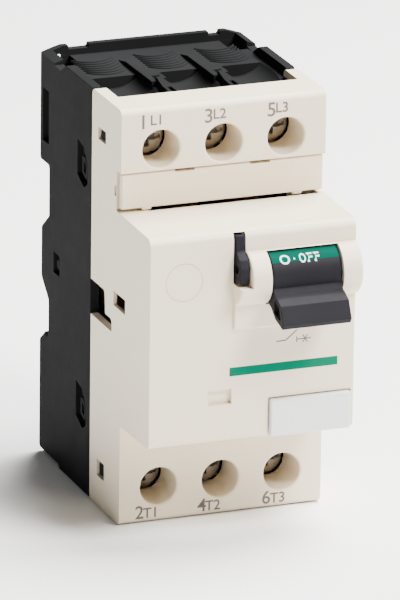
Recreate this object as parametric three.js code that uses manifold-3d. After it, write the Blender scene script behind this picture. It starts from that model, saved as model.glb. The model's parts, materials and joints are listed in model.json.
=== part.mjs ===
// Three-pole motor protection breaker with a rocker handle, for a 35 mm rail.
// Frame: millimetres, +Z up, the front faces -Y, X runs across the width.
// The origin is the middle of the footprint, on the plane of the bottom face.
// Depths are measured forwards from the rear face: y = REAR_Y - depth.

import * as THREE from 'three';
import { mergeVertices } from 'three/addons/utils/BufferGeometryUtils.js';
import { ConvexGeometry } from 'three/addons/geometries/ConvexGeometry.js';
import Module from 'manifold-3d';

const wasm = await Module();
wasm.setup();

// Overall size
const HALF_WIDTH = 22.25;
const HEIGHT = 89;
const LEVER_REACH = 76;
const REAR_Y = LEVER_REACH / 2;
const FRONT_DEPTH = 66;
const TERMINAL_DEPTH = 48.6;
const LOWER_TERMINAL_DEPTH = 49.2;
const SPLIT_DEPTH = 31.4;
const GAP = 0.3;
const WALL = 1.6;

// Main front block and hinged slot cover
const MAIN_BOTTOM = 22.2;
const MAIN_TOP = 66.9;
const FLAP_BOTTOM = 67.8;
const FLAP_TOP = 75.3;
const FLAP_DEPTH = 48.2;
const FLAP_THICKNESS = 1.5;
const FLAP_SEAT_DEPTH = 46.0;
const FLAP_PIN_Z = 68.5;
const FLAP_PIN_DEPTH = 47.45;

// Poles and terminals
const POLE_PITCH = 13.6;
const POLES = [-POLE_PITCH, 0, POLE_PITCH];
const LINE_Z = 80.1;
const LOAD_Z = 7.65;
const SCREW_BORE_R = 4;
const SCREW_HEAD_R = 3.55;
const SCREW_HEAD_DEPTH = 39.4;
const SCREW_SHANK_R = 1.75;
const BORE_END_DEPTH = 39.8;
const DECK_HALF = 19.3;
const NOTCH_HALF = 19.6;
const NOTCH_DEPTH = 39.3;
const ENTRY_HALF = 4.5;
const ENTRY_DEPTHS = [33.3, 38.3];
const PAD_DEPTHS = [31.5, 32.9];

// Rail channel on the rear face
const RAIL_FLOOR = 5.6;
const RAIL_TOP = 64.5;
const RAIL_BOTTOM = 28.3;

// Rocker handle
const PIVOT_DEPTH = 64.8;
const PIVOT_Z = 56.8;
const DRUM_R = 5.35;
const DRUM_X = [2.75, 17.65];
const GUARD_R = 5.85;
const LEFT_GUARD_X = [-0.6, 2.4];
const RIGHT_GUARD_X = [18, HALF_WIDTH];
const PEDESTAL_LEFT = -4.25;
const PEDESTAL_BOTTOM = 46.1;
const SHAFT_R = 1.2;
const CRANK_R = 7.5;
const CRANK_ANGLE = THREE.MathUtils.degToRad(144);
const CRANK_X = [9.3, 12];
const CAM_X = [12, 14.4];
const LINK_X = [6.8, 8.9];
const LINK_STEP = { depth: -6.2, z: -16.9 };
const CAM_R = 5.8;
const CAM_ANGLE = THREE.MathUtils.degToRad(108);

// Padlock tab
const TAB_X = [-4.0, -2.4];
const SLOT_X = [-4.3, -2.1];
const SLOT_Z = [55.9, 66.5];

// Contacts and magnetic trip
const BRIDGE_DEPTHS = [26.4, 27.8];
const FIXED_CONTACT_FACE = 23.9;
const STRIP = 1.4;
const COIL_Z = 31;
const COIL_DEPTHS = [12, 24];

const MATERIALS = {
  cream: { color: 0xdedad0, roughness: 0.45, metalness: 0 },
  black: { color: 0x2c2d2f, roughness: 0.5, metalness: 0 },
  charcoal: { color: 0x3b3a3f, roughness: 0.45, metalness: 0 },
  white: { color: 0xe0dfe0, roughness: 0.35, metalness: 0 },
  nickel: { color: 0xa9a79f, roughness: 0.3, metalness: 1 },
  steel: { color: 0x8b8d90, roughness: 0.4, metalness: 1 },
  copper: { color: 0xb87345, roughness: 0.35, metalness: 1 },
  brass: { color: 0xb99a55, roughness: 0.35, metalness: 1 },
};

const breaker = new THREE.Group();

// ---------------------------------------------------------------- helpers

function solid(geometry) {
  geometry.deleteAttribute('normal');
  geometry.deleteAttribute('uv');
  const merged = mergeVertices(geometry, 1e-4);
  const mesh = new wasm.Mesh({
    numProp: 3,
    vertProperties: new Float32Array(merged.attributes.position.array),
    triVerts: new Uint32Array(merged.index.array),
  });
  return new wasm.Manifold(mesh);
}

function block(xs, depths, zs) {
  const box = new THREE.BoxGeometry(xs[1] - xs[0], depths[1] - depths[0], zs[1] - zs[0]);
  const middle = (pair) => (pair[0] + pair[1]) / 2;
  box.translate(middle(xs), REAR_Y - middle(depths), middle(zs));
  return solid(box);
}

function extrusion(outline, length, curveSegments = 8) {
  const shape = outline instanceof THREE.Shape
    ? outline
    : new THREE.Shape(outline.map(([a, b]) => new THREE.Vector2(a, b)));
  return new THREE.ExtrudeGeometry(shape, { depth: length, bevelEnabled: false, curveSegments });
}

// An outline of (depth, z) points drawn along X.
function alongX(outline, xs) {
  const geometry = extrusion(outline, xs[1] - xs[0]);
  const placing = new THREE.Matrix4().makeBasis(
    new THREE.Vector3(0, -1, 0), new THREE.Vector3(0, 0, 1), new THREE.Vector3(-1, 0, 0));
  placing.setPosition(xs[1], REAR_Y, 0);
  return solid(geometry.applyMatrix4(placing));
}

// An outline of (x, z) points drawn along the depth.
function alongDepth(outline, depths) {
  const geometry = extrusion(outline, depths[1] - depths[0]);
  const placing = new THREE.Matrix4().makeBasis(
    new THREE.Vector3(1, 0, 0), new THREE.Vector3(0, 0, 1), new THREE.Vector3(0, -1, 0));
  placing.setPosition(0, REAR_Y - depths[0], 0);
  return solid(geometry.applyMatrix4(placing));
}

function rodX(radius, xs, depth, z, sides = 24) {
  const rod = new THREE.CylinderGeometry(radius, radius, xs[1] - xs[0], sides);
  rod.rotateZ(Math.PI / 2);
  rod.translate((xs[0] + xs[1]) / 2, REAR_Y - depth, z);
  return solid(rod);
}

function rodDepth(radius, depths, x, z, sides = 24) {
  const rod = new THREE.CylinderGeometry(radius, radius, depths[1] - depths[0], sides);
  rod.translate(x, REAR_Y - (depths[0] + depths[1]) / 2, z);
  return solid(rod);
}

function union(pieces) {
  return pieces.reduce((all, piece) => all.add(piece));
}

function mirrored(xs) {
  return [-xs[1], -xs[0]];
}

class Helix extends THREE.Curve {
  constructor(radius, length, turns) {
    super();
    this.radius = radius;
    this.length = length;
    this.turns = turns;
  }

  getPoint(t, target = new THREE.Vector3()) {
    const angle = 2 * Math.PI * this.turns * t;
    return target.set(this.radius * Math.cos(angle), this.radius * Math.sin(angle), this.length * t);
  }
}

// A spring wound about its local Z axis, from z = 0 to z = length between wire centres.
function spring(radius, wire, length, turns) {
  const section = new THREE.Shape();
  section.absarc(0, 0, wire, 0, 2 * Math.PI);
  const wound = new THREE.ExtrudeGeometry(section, {
    steps: Math.round(turns * 9),
    curveSegments: 3,
    extrudePath: new Helix(radius, length, turns),
  });
  return wound;
}

function addPart(name, material, shape, position = [0, 0, 0]) {
  const out = shape.getMesh();
  const geometry = new THREE.BufferGeometry();
  geometry.setAttribute('position', new THREE.BufferAttribute(out.vertProperties, 3));
  geometry.setIndex(new THREE.BufferAttribute(out.triVerts, 1));
  geometry.computeVertexNormals();
  const mesh = new THREE.Mesh(geometry, new THREE.MeshStandardMaterial(MATERIALS[material]));
  mesh.name = name;
  mesh.position.set(...position);
  breaker.add(mesh);
}

// ---------------------------------------------------------------- base casing

function baseOutline() {
  const deckFront = SPLIT_DEPTH - GAP;
  return [
    [0.3, 24.9], [0.3, 2.2], [1, 0.8], [12.3, 0.8], [12.8, 0], [deckFront, 0],
    [deckFront, HEIGHT], [17.6, HEIGHT], [14.7, 86.3], [9, 86.3], [8.6, 88.9],
    [3.2, 88.9], [1, 88.1], [0, 86.8], [0, RAIL_TOP], [RAIL_FLOOR, RAIL_TOP],
    [RAIL_FLOOR, 53.5], [1.1, 50], [1.1, 39], [RAIL_FLOOR, 35],
    [RAIL_FLOOR, RAIL_BOTTOM], [4.9, 26.6], [3.7, 27.5],
  ];
}

function wireEntries(zs) {
  return union(POLES.map((x) => block([x - ENTRY_HALF, x + ENTRY_HALF], ENTRY_DEPTHS, zs)));
}

// Snap tongues that reach behind the front cover's side windows.
function snapTongues() {
  const tongues = [];
  for (const [zLow, zHigh] of [[77.6, 83.2], [5, 11.6]]) {
    for (const side of [[19.4, 20.3], mirrored([19.4, 20.3])]) {
      tongues.push(block(side, [29, 40.5], [zLow, zHigh]));
    }
    for (const root of [[19.4, 21.4], mirrored([19.4, 21.4])]) {
      tongues.push(block(root, [28.8, SPLIT_DEPTH - GAP], [zLow, zHigh]));
    }
  }
  for (const [depths, zs] of [[[35.5, 39.2], [79.6, 81.4]], [[36, 39.6], [6.9, 9.7]]]) {
    for (const side of [[20, 21.2], mirrored([20, 21.2])]) {
      tongues.push(block(side, depths, zs));
    }
  }
  return union(tongues);
}

function sideRecesses() {
  const cuts = [];
  const sides = [[HALF_WIDTH - 1.2, HALF_WIDTH + 1], mirrored([HALF_WIDTH - 1.2, HALF_WIDTH + 1])];
  for (const side of sides) {
    cuts.push(block(side, [1.6, 5.4], [69, 80.4]));
    cuts.push(block(side, [8.7, 12.4], [42.2, 46.7]));
    for (const low of [66.2, 13.7]) {
      cuts.push(alongX([[22.8, low + 9.4], [22.8, low + 1.8], [26.8, low], [28.8, low + 1.2],
        [28.8, low + 5.5], [26.4, low + 8.6]], side));
    }
  }
  return union(cuts);
}

function topDeck() {
  const inner = [-DECK_HALF - 1, DECK_HALF + 1];
  const rear = block(inner, [2, 19.6], [86.9, HEIGHT + 1]);
  const scoops = POLES.map((x) => alongX(
    [[17, 90], [17, 86.9], [19.6, 86.1], [31, 85.6], [40, 85.6], [40, 90]], [x - 5.7, x + 5.7]));
  const lip = block([-HALF_WIDTH - 1, -12], [-1, 2], [88.2, HEIGHT + 1]);
  const lipRight = block([14, HALF_WIDTH - 4], [-1, 2], [88.2, HEIGHT + 1]);
  return union([rear, ...scoops, lip, lipRight]);
}

function baseCasing() {
  let base = alongX(baseOutline(), [-HALF_WIDTH, HALF_WIDTH]);
  const extension = block([-DECK_HALF, DECK_HALF], [30, NOTCH_DEPTH - GAP], [84.4, 88.8]);
  const lowerExtension = block([-DECK_HALF, DECK_HALF], [30, NOTCH_DEPTH - GAP], [0, 2.2]);
  base = base.subtract(block([-20.4, 20.4], [8, 40], [3, 82]));
  base = base.subtract(block([-20.4, 20.4], [2, 9], [67, 82]));
  for (const x of [-POLE_PITCH / 2, POLE_PITCH / 2]) {
    base = base.add(block([x - 0.6, x + 0.6], [7, SPLIT_DEPTH - GAP], [2, 83]));
  }
  base = base.add(extension).add(lowerExtension).add(snapTongues());
  for (const xs of [[-16, -9.5], [9.5, 16]]) {
    base = base.add(block(xs, [2.6, 4.2], [62.9, RAIL_TOP + 1]));
    base = base.add(block(xs, [4.1, RAIL_FLOOR + 1], [RAIL_TOP, RAIL_TOP + 1]));
  }
  base = base.subtract(topDeck()).subtract(sideRecesses());
  base = base.subtract(wireEntries([80, 92])).subtract(wireEntries([-2, 10]));
  base = base.subtract(block([-8.4, 8.4], [-1, 4.6], [-1, RAIL_BOTTOM + 1]));
  return base.add(block([-1.6, 1.6], [1.2, 5], [6.4, 8]));
}

addPart('base_casing', 'black', baseCasing());

// ---------------------------------------------------------------- front cover

function coverOutline() {
  return [
    [SPLIT_DEPTH, 0], [LOWER_TERMINAL_DEPTH, 0], [LOWER_TERMINAL_DEPTH, MAIN_BOTTOM - 0.6],
    [51.7, MAIN_BOTTOM - 0.6], [FRONT_DEPTH - 0.8, MAIN_BOTTOM], [FRONT_DEPTH, MAIN_BOTTOM + 0.8],
    [FRONT_DEPTH, MAIN_TOP - 1.6], [FRONT_DEPTH - 0.5, MAIN_TOP - 0.5], [FRONT_DEPTH - 1.6, MAIN_TOP],
    [FLAP_SEAT_DEPTH, MAIN_TOP], [FLAP_SEAT_DEPTH, FLAP_TOP + GAP], [TERMINAL_DEPTH, FLAP_TOP + GAP],
    [TERMINAL_DEPTH, HEIGHT - 1.2],
    [TERMINAL_DEPTH - 0.4, HEIGHT - 0.4], [TERMINAL_DEPTH - 1.2, HEIGHT], [SPLIT_DEPTH, HEIGHT],
  ];
}

function coverHollow() {
  const wide = [-HALF_WIDTH + WALL, HALF_WIDTH - WALL];
  const rear = SPLIT_DEPTH - 1;
  return union([
    block(wide, [rear, TERMINAL_DEPTH - WALL - 2.2], [68, HEIGHT - WALL]),
    block(wide, [rear, TERMINAL_DEPTH - WALL], [77, HEIGHT - WALL]),
    block(wide, [rear, FRONT_DEPTH - WALL], [MAIN_BOTTOM + 1, MAIN_TOP - WALL]),
    block(wide, [rear, TERMINAL_DEPTH - WALL - 2.2], [60, 70]),
    block(wide, [rear, LOWER_TERMINAL_DEPTH - WALL], [WALL, 24]),
  ]);
}

// The skirt runs from the left guard's rim down to the pedestal's left edge.
function guardSkirt() {
  const corners = [];
  const rings = [
    { x: LEFT_GUARD_X[0] + 0.3, radius: GUARD_R - 0.25, from: -1.2, to: 0 },
    { x: SLOT_X[1], radius: GUARD_R - 0.6, from: -1.1, to: -0.2 },
  ];
  for (const ring of rings) {
    for (let step = 0; step <= 5; step += 1) {
      const angle = ring.from + (ring.to - ring.from) * step / 5;
      const depth = PIVOT_DEPTH + ring.radius * Math.cos(angle);
      corners.push([ring.x, depth, PIVOT_Z + ring.radius * Math.sin(angle)]);
    }
    corners.push([ring.x, 64.2, 50.1], [ring.x, 64.2, 56.9]);
  }
  for (const z of [50.1, SLOT_Z[0] - 0.1]) {
    corners.push([PEDESTAL_LEFT + 0.05, 66.3, z], [PEDESTAL_LEFT + 0.05, 64.2, z]);
  }
  return solid(new ConvexGeometry(corners.map(([x, depth, z]) => new THREE.Vector3(x, REAR_Y - depth, z))));
}

function pedestal() {
  const flat = alongX([[65, PEDESTAL_BOTTOM], [66.7, PEDESTAL_BOTTOM], [66.9, 50.9], [65, 50.9]],
    [PEDESTAL_LEFT, HALF_WIDTH]);
  const guards = rodX(GUARD_R, [LEFT_GUARD_X[0], HALF_WIDTH], PIVOT_DEPTH, PIVOT_Z, 40);
  return union([flat, guards, guardSkirt()]);
}

function drumPocket() {
  return block([LEFT_GUARD_X[1], RIGHT_GUARD_X[0]], [56, 72], [PIVOT_Z - 5.75, PIVOT_Z + 5.75]);
}

function coverWindows() {
  const cuts = [];
  for (const side of [[19, HALF_WIDTH + 1], mirrored([19, HALF_WIDTH + 1])]) {
    cuts.push(block(side, [35.1, 39.6], [79.2, 81.8]));
    cuts.push(block(side, [35.6, 40], [6.5, 10.1]));
    cuts.push(block(side, [44.7, 51.6], [46.5, 49.6]));
    cuts.push(block(side, [44.8, 45.9], [70.1, 72.4]));
    cuts.push(alongX([[30, 48], [38.9, 48], [39.8, 47.2], [40, 43.1], [43, 43.1], [43.8, 42.3],
      [43.8, 40.4], [30, 40.4]], side));
  }
  return union(cuts);
}

function frontCover() {
  let cover = alongX(coverOutline(), [-HALF_WIDTH, HALF_WIDTH]);
  cover = cover.subtract(coverHollow());
  for (const x of POLES) {
    cover = cover.add(rodDepth(SCREW_BORE_R + 1, [BORE_END_DEPTH, TERMINAL_DEPTH - 1], x, LINE_Z, 28));
    cover = cover.add(rodDepth(SCREW_BORE_R + 1, [BORE_END_DEPTH, LOWER_TERMINAL_DEPTH - 1], x, LOAD_Z, 28));
  }
  cover = cover.subtract(block([-30, 30], [FLAP_SEAT_DEPTH, 60], [MAIN_TOP, FLAP_TOP + GAP]));
  cover = cover.add(pedestal());
  for (const x of POLES) {
    cover = cover.subtract(rodDepth(SCREW_BORE_R, [30, 60], x, LINE_Z, 28));
    cover = cover.subtract(rodDepth(SCREW_BORE_R, [30, 60], x, LOAD_Z, 28));
  }
  cover = cover.subtract(drumPocket()).subtract(coverWindows());
  cover = cover.subtract(rodX(SHAFT_R + GAP, [1.2, 19.2], PIVOT_DEPTH, PIVOT_Z));
  cover = cover.subtract(block(SLOT_X, [50, 75], SLOT_Z));
  cover = cover.subtract(block([-NOTCH_HALF, NOTCH_HALF], [30, NOTCH_DEPTH], [80, 92]));
  cover = cover.subtract(block([-NOTCH_HALF, NOTCH_HALF], [30, NOTCH_DEPTH], [-3, 5]));
  cover = cover.subtract(block([-9.5, -4.35], [FRONT_DEPTH - 1, 70], [30.2, 33.4]));
  cover = cover.subtract(alongDepth(
    [[3.6, 22], [21.7, 22], [21.7, 30.6], [3.6, 30.6]], [FRONT_DEPTH - 0.8, 70]));
  return cover;
}

addPart('front_cover', 'cream', frontCover());

// ---------------------------------------------------------------- hinged slot cover and marker

function slotCover() {
  const inside = FLAP_DEPTH - FLAP_THICKNESS;
  let flap = block([-21.9, 21.9], [inside, FLAP_DEPTH], [FLAP_BOTTOM, FLAP_TOP]);
  for (const x of [-8.25, 8.15]) {
    flap = flap.subtract(block([x - 2.15, x + 2.15], [inside - 1, FLAP_DEPTH + 1], [FLAP_TOP - 0.5, 80]));
  }
  for (const x of [-15, 15]) {
    flap = flap.add(rodX(0.6, [x - 0.9, x + 0.9], FLAP_PIN_DEPTH + 0.1, FLAP_PIN_Z - 0.7, 12));
  }
  return flap;
}

addPart('aux_slot_cover', 'cream', slotCover());
addPart('marker_plate', 'white', block([3.9, 21.4], [FRONT_DEPTH - 0.5, FRONT_DEPTH + 1], [22.35, 30.3]));

// ---------------------------------------------------------------- rocker handle and its drive

function polar(depth, z, radius, angle) {
  return [depth + radius * Math.cos(angle), z + radius * Math.sin(angle)];
}

const CRANK_PIN = polar(PIVOT_DEPTH, PIVOT_Z, CRANK_R, CRANK_ANGLE);
const DRIVE_DEPTH = PIVOT_DEPTH + LINK_STEP.depth;
const DRIVE_Z = PIVOT_Z + LINK_STEP.z;
const DRIVE_PIN = polar(DRIVE_DEPTH, DRIVE_Z, CRANK_R, CRANK_ANGLE);

// A flat arm with round ends from one (depth, z) point to another.
function arm(from, to, radius, xs) {
  const length = Math.hypot(to[0] - from[0], to[1] - from[1]);
  const side = [(to[1] - from[1]) / length * radius, (from[0] - to[0]) / length * radius];
  const bar = [
    [from[0] - side[0], from[1] - side[1]], [from[0] + side[0], from[1] + side[1]],
    [to[0] + side[0], to[1] + side[1]], [to[0] - side[0], to[1] - side[1]],
  ];
  return union([rodX(radius, xs, ...from, 20), rodX(radius, xs, ...to, 20), alongX(bar, xs)]);
}

function toggleLever() {
  const grip = [[64, 56], [69.8, 55.6], [70.2, 55], [71.1, 54.3], [72, 53.9], [74.2, 52.8],
    [LEVER_REACH, 49.3], [75.2, 48.2], [71.2, 49.2], [69, 50.8], [66, 52]];
  let toggle = rodX(DRUM_R, DRUM_X, PIVOT_DEPTH, PIVOT_Z, 48).add(alongX(grip, DRUM_X));
  const endHollow = [[70.6, 50.6], [70.8, 53.4], [73.3, 52.3], [74.5, 49.7], [71.8, 50]];
  toggle = toggle.subtract(alongX(endHollow, [0, DRUM_X[0] + 2.4]));
  toggle = toggle.subtract(alongX(endHollow, [DRUM_X[1] - 2.4, 20]));
  toggle = toggle.add(arm([PIVOT_DEPTH, PIVOT_Z], CRANK_PIN, 2.4, CRANK_X));
  toggle = toggle.subtract(rodX(SHAFT_R + GAP, [0, 20], PIVOT_DEPTH, PIVOT_Z));
  return toggle.subtract(rodX(1 + GAP, [0, 20], ...CRANK_PIN, 16));
}

function driveLink() {
  const bar = arm(CRANK_PIN, DRIVE_PIN, 1.5, LINK_X);
  const pins = [CRANK_PIN, DRIVE_PIN].map((pin) => rodX(1, [LINK_X[0], CRANK_X[1] - 0.2], ...pin, 16));
  return union([bar, ...pins]);
}

function driveLever() {
  const hub = [DRIVE_DEPTH, DRIVE_Z];
  const cam = arm(hub, polar(...hub, CAM_R - 1.1, CAM_ANGLE), 1.1, [CAM_X[0] + 0.4, CAM_X[1]]);
  const boss = rodX(2.6, [CRANK_X[0], CAM_X[1]], ...hub, 24);
  let lever = union([boss, arm(hub, DRIVE_PIN, 2.2, CRANK_X), cam]);
  lever = lever.subtract(rodX(SHAFT_R + GAP, [0, 20], ...hub));
  return lever.subtract(rodX(1 + GAP, [0, 20], ...DRIVE_PIN, 16));
}

function mechanismFrame() {
  const plate = [[52.4, 32], [62, 32], [62, 44.5], [57, 45.5], [54, 42]];
  let frame = union([alongX(plate, [3.4, 4.4]), alongX(plate, [17, 18]),
    block([3.4, 18], [52.4, 62], [31, 32.4])]);
  return frame.subtract(rodX(SHAFT_R + GAP, [0, 20], DRIVE_DEPTH, DRIVE_Z));
}

addPart('toggle_lever', 'charcoal', toggleLever());
addPart('toggle_shaft', 'steel', rodX(SHAFT_R, [1.5, 18.9], PIVOT_DEPTH, PIVOT_Z, 20));
addPart('drive_link', 'steel', driveLink());
addPart('drive_lever', 'steel', driveLever());
addPart('drive_shaft', 'steel', rodX(SHAFT_R, [2.8, 18.6], DRIVE_DEPTH, DRIVE_Z, 20));
addPart('mechanism_frame', 'steel', mechanismFrame());

function mainSpring() {
  const wound = spring(2.1, 0.22, 1.6, 3);
  wound.rotateY(Math.PI / 2);
  wound.translate(15.0, REAR_Y - DRIVE_DEPTH, DRIVE_Z);
  return solid(wound);
}

addPart('main_spring', 'steel', mainSpring());

function padlockTab() {
  const profile = new THREE.Shape();
  profile.moveTo(52, 57);
  profile.lineTo(67.2, 56.6);
  profile.lineTo(68.1, 57.2);
  profile.absarc(65.6, 58.9, 2.6, -0.4, 0.9, false);
  profile.quadraticCurveTo(66.2, 62, 66.1, 63);
  profile.lineTo(66.1, 66);
  profile.lineTo(63.4, 66);
  profile.lineTo(63.4, 62);
  profile.lineTo(52, 62);
  const tab = alongX(profile, TAB_X);
  return tab.subtract(rodX(1, [-5, -1], 66.1, 59.6, 16));
}

addPart('padlock_tab', 'charcoal', padlockTab());

// ---------------------------------------------------------------- rail clip

function railClip() {
  const profile = [[0.6, 4], [4.2, 4], [4.2, 31], [3.2, 31], [0.6, 26.5]];
  const clip = alongX(profile, [-8, 8]);
  const pull = block([-4.5, 4.5], [0.6, 4.2], [1.2, 5]);
  return clip.add(pull).subtract(block([-2.2, 2.2], [-1, 6], [5.4, 18]));
}

function railClipSpring() {
  const wound = spring(1.2, 0.25, 8.8, 6);
  wound.translate(0, REAR_Y - 2.6, 8.6);
  return solid(wound);
}

addPart('rail_clip', 'charcoal', railClip());
addPart('rail_clip_spring', 'steel', railClipSpring());

// ---------------------------------------------------------------- terminals and conductors

function terminalScrew() {
  const tip = 22.5;
  const neck = SCREW_HEAD_DEPTH - 2.4;
  const y = (depth) => REAR_Y - depth;
  const outline = [[0, SCREW_HEAD_DEPTH], [SCREW_HEAD_R - 0.4, SCREW_HEAD_DEPTH],
    [SCREW_HEAD_R, SCREW_HEAD_DEPTH - 0.4], [SCREW_HEAD_R, neck], [SCREW_SHANK_R, neck],
    [SCREW_SHANK_R, tip + 0.6], [SCREW_SHANK_R - 0.6, tip], [0, tip]];
  const turned = solid(new THREE.LatheGeometry(
    outline.map(([r, depth]) => new THREE.Vector2(r, y(depth))), 20));
  const recess = [SCREW_HEAD_DEPTH - 1.3, SCREW_HEAD_DEPTH + 1];
  return turned
    .subtract(block([-2.9, 2.9], recess, [-0.4, 0.4]))
    .subtract(block([-0.5, 0.5], recess, [-1.7, 1.7]));
}

function clampSaddle() {
  const plate = block([-4.2, 4.2], [35.3, 36.6], [-3.9, 3.9]);
  return plate.subtract(rodDepth(SCREW_SHANK_R + GAP, [30, 40], 0, 0, 20));
}

// The line side runs from its terminal down to the rear contact; the load side mirrors it upwards.
function lineBar() {
  const bar = alongX([[PAD_DEPTHS[1], 84.3], [PAD_DEPTHS[0], 84.3], [PAD_DEPTHS[0], 70.4],
    [FIXED_CONTACT_FACE - STRIP, 70.4], [FIXED_CONTACT_FACE - STRIP, 56.4], [FIXED_CONTACT_FACE, 56.4],
    [FIXED_CONTACT_FACE, 69], [PAD_DEPTHS[1], 69]], [-3.8, 3.8]);
  return bar.subtract(rodDepth(SCREW_SHANK_R + GAP, [30, 40], 0, LINE_Z, 20));
}

function loadBar() {
  const bar = alongX([[PAD_DEPTHS[1], 3.4], [PAD_DEPTHS[1], 16.4], [FIXED_CONTACT_FACE, 16.4],
    [FIXED_CONTACT_FACE, 23.4], [FIXED_CONTACT_FACE - STRIP, 23.4], [FIXED_CONTACT_FACE - STRIP, 15],
    [PAD_DEPTHS[0], 15], [PAD_DEPTHS[0], 3.4]], [-3.8, 3.8]);
  return bar.subtract(rodDepth(SCREW_SHANK_R + GAP, [30, 40], 0, LOAD_Z, 20));
}

function fixedContact() {
  return alongX([[FIXED_CONTACT_FACE, 48], [FIXED_CONTACT_FACE - STRIP, 48],
    [FIXED_CONTACT_FACE - STRIP, 38.6], [FIXED_CONTACT_FACE, 38.6]], [-3.6, 3.6]);
}

function contactBridge() {
  const plate = block([-2.8, 2.8], BRIDGE_DEPTHS, [44.6, 59.8]);
  const tips = [46.2, 58.2].map((z) => rodDepth(1.6, [BRIDGE_DEPTHS[0] - 0.6, BRIDGE_DEPTHS[1]], 0, z, 16));
  return union([plate, ...tips]);
}

function contactSpring() {
  const wound = spring(2, 0.3, 3.8, 3.5);
  wound.rotateX(Math.PI / 2);
  wound.translate(0, REAR_Y - BRIDGE_DEPTHS[1] - 0.7, 52.2);
  return solid(wound);
}

function contactCarrier() {
  const beam = block([-18.5, 18.5], [33, 36], [49, 55.4]);
  const posts = POLES.map((x) => rodDepth(1.3, [28.6, 34], x, 52.2, 14));
  const follower = block([12.6, 14.2], [35, 53.9], [DRIVE_Z - 1.5, DRIVE_Z + 1.5]);
  const riser = block([12.6, 14.2], [33.5, 36], [DRIVE_Z - 1.5, 52]);
  return union([beam, ...posts, follower, riser]);
}

// Five steel plates on a rear web, open towards the contacts.
function arcChute() {
  const plates = [];
  for (let z = 42; z <= 62; z += 4) {
    plates.push(block([-4.9, 4.9], [10, 21.6], [z, z + 1]));
  }
  return union([block([-4.9, 4.9], [9, 10.2], [42, 63]), ...plates]);
}

function tripCoil() {
  const outer = rodDepth(5.1, COIL_DEPTHS, 0, COIL_Z, 28);
  return outer.subtract(rodDepth(2.6, [0, 40], 0, COIL_Z, 20));
}

function magnetYoke() {
  const body = block([-5.6, 5.6], [9.4, 26.4], [COIL_Z - 6.9, COIL_Z + 6.9]);
  const hollow = block([-10, 10], [11, 24.8], [COIL_Z - 5.5, COIL_Z + 5.5]);
  return body.subtract(hollow).subtract(rodDepth(2.6, [20, 30], 0, COIL_Z, 20));
}

function tripPlunger() {
  return rodDepth(2.2, [13, 27], 0, COIL_Z, 20).add(rodDepth(1, [26, 31.6], 0, COIL_Z, 16));
}

for (const [index, x] of POLES.entries()) {
  const pole = index + 1;
  addPart(`line_screw_${pole}`, 'nickel', terminalScrew(), [x, 0, LINE_Z]);
  addPart(`load_screw_${pole}`, 'nickel', terminalScrew(), [x, 0, LOAD_Z]);
  addPart(`line_clamp_${pole}`, 'steel', clampSaddle(), [x, 0, LINE_Z]);
  addPart(`load_clamp_${pole}`, 'steel', clampSaddle(), [x, 0, LOAD_Z]);
  addPart(`line_bar_${pole}`, 'copper', lineBar(), [x, 0, 0]);
  addPart(`load_bar_${pole}`, 'copper', loadBar(), [x, 0, 0]);
  addPart(`fixed_contact_${pole}`, 'copper', fixedContact(), [x, 0, 0]);
  addPart(`contact_bridge_${pole}`, 'brass', contactBridge(), [x, 0, 0]);
  addPart(`contact_spring_${pole}`, 'steel', contactSpring(), [x, 0, 0]);
  addPart(`arc_chute_${pole}`, 'steel', arcChute(), [x, 0, 0]);
  addPart(`trip_coil_${pole}`, 'copper', tripCoil(), [x, 0, 0]);
  addPart(`magnet_yoke_${pole}`, 'steel', magnetYoke(), [x, 0, 0]);
  addPart(`trip_plunger_${pole}`, 'steel', tripPlunger(), [x, 0, 0]);
}

addPart('contact_carrier', 'black', contactCarrier());

function tripBar() {
  const bar = alongX([[33.4, 28.4], [35.2, 28.4], [35.8, 36.2], [33.8, 36.2]], [-18.5, 18.5]);
  const catchArm = block([13, 15.5], [34.5, 48], [33.4, 35.6]);
  return union([bar, catchArm]);
}

addPart('trip_bar', 'black', tripBar());

export default breaker;
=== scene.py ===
"""A three-pole motor protection breaker with a rocker handle.

Lengths are millimetres, turned into metres by MM, unless a comment says metres. Depths run forwards from the
rear face.
"""
import json
import math

import bmesh
import bpy
from mathutils import Matrix, Vector


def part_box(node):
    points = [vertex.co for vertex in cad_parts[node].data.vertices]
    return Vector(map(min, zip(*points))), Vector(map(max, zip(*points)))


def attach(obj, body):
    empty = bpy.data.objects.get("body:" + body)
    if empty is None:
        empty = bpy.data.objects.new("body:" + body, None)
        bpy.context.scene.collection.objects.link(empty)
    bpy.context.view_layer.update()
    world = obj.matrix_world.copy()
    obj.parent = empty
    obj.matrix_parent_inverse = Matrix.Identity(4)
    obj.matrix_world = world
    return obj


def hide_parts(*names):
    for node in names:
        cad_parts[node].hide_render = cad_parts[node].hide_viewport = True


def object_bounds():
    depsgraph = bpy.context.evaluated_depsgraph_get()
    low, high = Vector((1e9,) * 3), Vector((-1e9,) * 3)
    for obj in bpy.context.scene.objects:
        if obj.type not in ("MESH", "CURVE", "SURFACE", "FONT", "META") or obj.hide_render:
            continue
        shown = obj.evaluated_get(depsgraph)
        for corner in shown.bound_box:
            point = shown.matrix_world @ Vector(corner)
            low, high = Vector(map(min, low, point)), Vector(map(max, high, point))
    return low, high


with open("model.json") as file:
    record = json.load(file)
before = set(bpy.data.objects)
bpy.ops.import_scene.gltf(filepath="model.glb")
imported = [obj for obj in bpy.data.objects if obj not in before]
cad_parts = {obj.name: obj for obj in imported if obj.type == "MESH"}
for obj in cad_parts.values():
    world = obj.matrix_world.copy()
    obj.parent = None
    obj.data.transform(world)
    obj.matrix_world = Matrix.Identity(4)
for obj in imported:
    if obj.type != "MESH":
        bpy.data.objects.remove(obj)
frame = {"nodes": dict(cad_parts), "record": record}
cad_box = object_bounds()

MM = 0.001
REAR_Y = cad_box[1][1]
HALF_WIDTH = cad_box[1][0] / MM
HEIGHT = cad_box[1][2] / MM


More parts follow.
